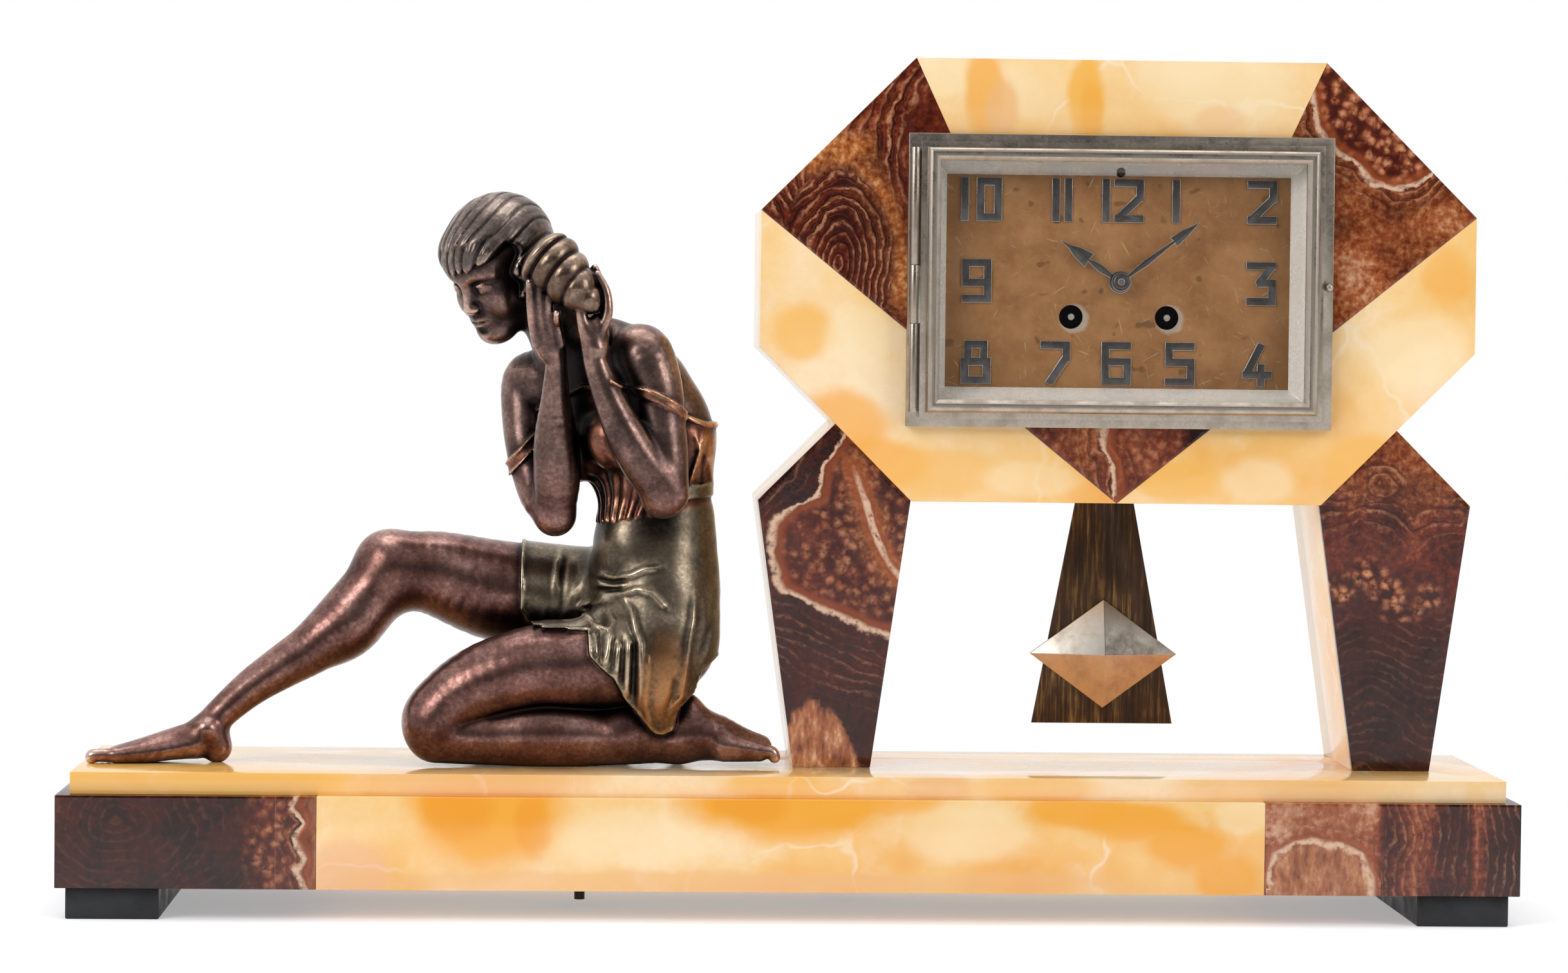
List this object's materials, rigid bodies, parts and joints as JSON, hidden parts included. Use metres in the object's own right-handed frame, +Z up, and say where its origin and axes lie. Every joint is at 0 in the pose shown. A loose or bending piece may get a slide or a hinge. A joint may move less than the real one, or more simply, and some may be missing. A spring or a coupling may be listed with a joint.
{
  "type": "figural mantel clock",
  "caption": "Onyx mantel clock with an octagonal case on legs, hinged glazed bezel, hanging pendulum and a kneeling cast figure holding a shell to the ear.",
  "frame": {"origin": "centre of the base on the floor plane", "axes": "+X along the base towards the case, +Y from the dial to the back, +Z up"},
  "size_m": [0.6, 0.13, 0.357],
  "materials": {
    "yellow_onyx": "polished pale yellow banded onyx",
    "pale_onyx": "polished cream onyx",
    "brown_onyx": "polished dark brown banded onyx",
    "black_foot": "matt black",
    "nickel": "worn bright nickel plate",
    "dial_tan": "matt tan lacquered brass",
    "hand_steel": "satin steel",
    "glass": "clear bevelled glass",
    "brass": "satin movement brass",
    "steel": "polished steel",
    "bell_metal": "turned bell metal",
    "pendulum_patina": "brown patinated brass",
    "bob_metal": "worn plated brass",
    "figure_bronze": "dark bronze patina rubbed to copper on high places",
    "dress_bronze": "golden olive bronze patina"
  },
  "bodies": {
    "clock": {"base_left_block": "brown_onyx", "base_center_block": "yellow_onyx", "base_right_block": "brown_onyx", "plinth_slab": "yellow_onyx", "foot_bars": "black_foot", "leg_cores": "pale_onyx", "left_leg_facing": "brown_onyx", "right_leg_facing": "brown_onyx", "case_body": "pale_onyx", "panel_top": "yellow_onyx", "panel_bottom": "brown_onyx", "panel_left": "brown_onyx", "panel_right": "brown_onyx", "panel_lower_left": "yellow_onyx", "panel_lower_right": "yellow_onyx", "base_fixings": "steel", "bezel_frame": "nickel", "sight_frame": "nickel", "bezel_pins": "nickel", "dial_plate": "dial_tan", "hour_numerals": "hand_steel", "front_plate": "brass", "back_plate": "brass", "movement_pillars": "brass", "strike_bell": "bell_metal", "suspension_cock": "brass", "rear_ring": "brass", "figure_torso": "dress_bronze", "figure_skirt": "dress_bronze", "figure_head": "figure_bronze", "figure_right_arm": "figure_bronze", "figure_left_arm": "figure_bronze", "figure_right_leg": "figure_bronze", "figure_left_leg": "figure_bronze", "figure_shell": "figure_bronze"},
    "bezel_leaf": {"bezel_door": "nickel", "bezel_glass": "glass"},
    "minute_work": {"minute_hand": "hand_steel", "cannon_pinion": "steel", "hand_nut": "hand_steel"},
    "hour_work": {"hour_hand": "hand_steel", "hour_wheel": "brass"},
    "minute_gear": {"minute_wheel": "brass"},
    "pendulum": {"pendulum_rod": "steel", "pendulum_plate": "pendulum_patina", "pendulum_bob": "bob_metal"},
    "anchor": {"pallet_anchor": "steel"},
    "third": {"third_wheel": "brass"},
    "center": {"center_wheel": "brass"},
    "going_barrel": {"time_barrel": "brass"},
    "escape": {"escape_wheel": "brass"},
    "warning": {"warning_wheel": "brass"},
    "pin_gear": {"strike_pin_wheel": "brass"},
    "striking_barrel": {"strike_barrel": "brass"},
    "fly": {"strike_fly": "brass"},
    "hammer": {"strike_hammer": "steel"},
    "time_winder": {"time_winding_arbor": "steel"},
    "strike_winder": {"strike_winding_arbor": "steel"},
    "regulator": {"regulator_arbor": "steel"},
    "rear_door": {"rear_cover": "brass"}
  },
  "joints": [
    {"name": "bezel_open", "type": "hinge", "parent": "clock", "child": "bezel_leaf", "pos_m": [0.0496, -0.0292, 0.2645], "axis": [0, 0, -1], "range_deg": [0, 105]},
    {"name": "minute_turn", "type": "hinge", "parent": "clock", "child": "minute_work", "pos_m": [0.136, -0.025, 0.2645], "axis": [0, 1, 0], "continuous": true},
    {"name": "hour_turn", "type": "hinge", "parent": "clock", "child": "hour_work", "pos_m": [0.136, -0.022, 0.2645], "axis": [0, 1, 0], "continuous": true},
    {"name": "minute_gear_turn", "type": "hinge", "parent": "clock", "child": "minute_gear", "pos_m": [0.136, -0.012, 0.2525], "axis": [0, 1, 0], "continuous": true},
    {"name": "pendulum_swing", "type": "hinge", "parent": "clock", "child": "pendulum", "pos_m": [0.136, 0.024, 0.2989], "axis": [0, 1, 0], "range_deg": [-3, 3]},
    {"name": "anchor_rock", "type": "hinge", "parent": "clock", "child": "anchor", "pos_m": [0.136, 0.01, 0.2989], "axis": [0, 1, 0], "range_deg": [-3, 3]},
    {"name": "third_turn", "type": "hinge", "parent": "clock", "child": "third", "pos_m": [0.15015, 0, 0.27638], "axis": [0, 1, 0], "continuous": true},
    {"name": "center_turn", "type": "hinge", "parent": "clock", "child": "center", "pos_m": [0.136, 0, 0.2645], "axis": [0, 1, 0], "continuous": true},
    {"name": "going_barrel_turn", "type": "hinge", "parent": "clock", "child": "going_barrel", "pos_m": [0.1561, 0.005, 0.2498], "axis": [0, 1, 0], "continuous": true},
    {"name": "escape_turn", "type": "hinge", "parent": "clock", "child": "escape", "pos_m": [0.136, 0.005, 0.2835], "axis": [0, 1, 0], "continuous": true},
    {"name": "warning_turn", "type": "hinge", "parent": "clock", "child": "warning", "pos_m": [0.12192, 0.005, 0.28879], "axis": [0, 1, 0], "continuous": true},
    {"name": "pin_gear_turn", "type": "hinge", "parent": "clock", "child": "pin_gear", "pos_m": [0.11377, 0.005, 0.2741], "axis": [0, 1, 0], "continuous": true},
    {"name": "striking_barrel_turn", "type": "hinge", "parent": "clock", "child": "striking_barrel", "pos_m": [0.1159, 0.005, 0.2498], "axis": [0, 1, 0], "continuous": true},
    {"name": "fly_turn", "type": "hinge", "parent": "clock", "child": "fly", "pos_m": [0.1094, 0.005, 0.29215], "axis": [0, 1, 0], "continuous": true},
    {"name": "hammer_lift", "type": "hinge", "parent": "clock", "child": "hammer", "pos_m": [0.09716, 0.005, 0.27855], "axis": [0, 1, 0], "range_deg": [0, 10], "stiffness_Nm_per_rad": 0.01},
    {"name": "time_winding", "type": "hinge", "parent": "clock", "child": "time_winder", "pos_m": [0.1561, 0, 0.2498], "axis": [0, 1, 0], "range_deg": [0, 1980]},
    {"name": "strike_winding", "type": "hinge", "parent": "clock", "child": "strike_winder", "pos_m": [0.1159, 0, 0.2498], "axis": [0, -1, 0], "range_deg": [0, 1980]},
    {"name": "regulate", "type": "hinge", "parent": "clock", "child": "regulator", "pos_m": [0.136, 0, 0.3097], "axis": [0, 1, 0], "range_deg": [-720, 720]},
    {"name": "rear_open", "type": "hinge", "parent": "clock", "child": "rear_door", "pos_m": [0.071, 0.0581, 0.2645], "axis": [0, 0, 1], "range_deg": [0, 110]}
  ],
  "couplings": [
    {"joint": "hour_turn", "follows": "minute_turn", "ratio": 0.083333},
    {"joint": "minute_gear_turn", "follows": "minute_turn", "ratio": -0.33333},
    {"joint": "anchor_rock", "follows": "pendulum_swing", "ratio": 1},
    {"joint": "center_turn", "follows": "third_turn", "ratio": -0.1},
    {"joint": "going_barrel_turn", "follows": "third_turn", "ratio": 0.016667},
    {"joint": "escape_turn", "follows": "third_turn", "ratio": -10},
    {"joint": "pin_gear_turn", "follows": "warning_turn", "ratio": -0.11111},
    {"joint": "striking_barrel_turn", "follows": "warning_turn", "ratio": 0.015873},
    {"joint": "fly_turn", "follows": "warning_turn", "ratio": -8}
  ]
}
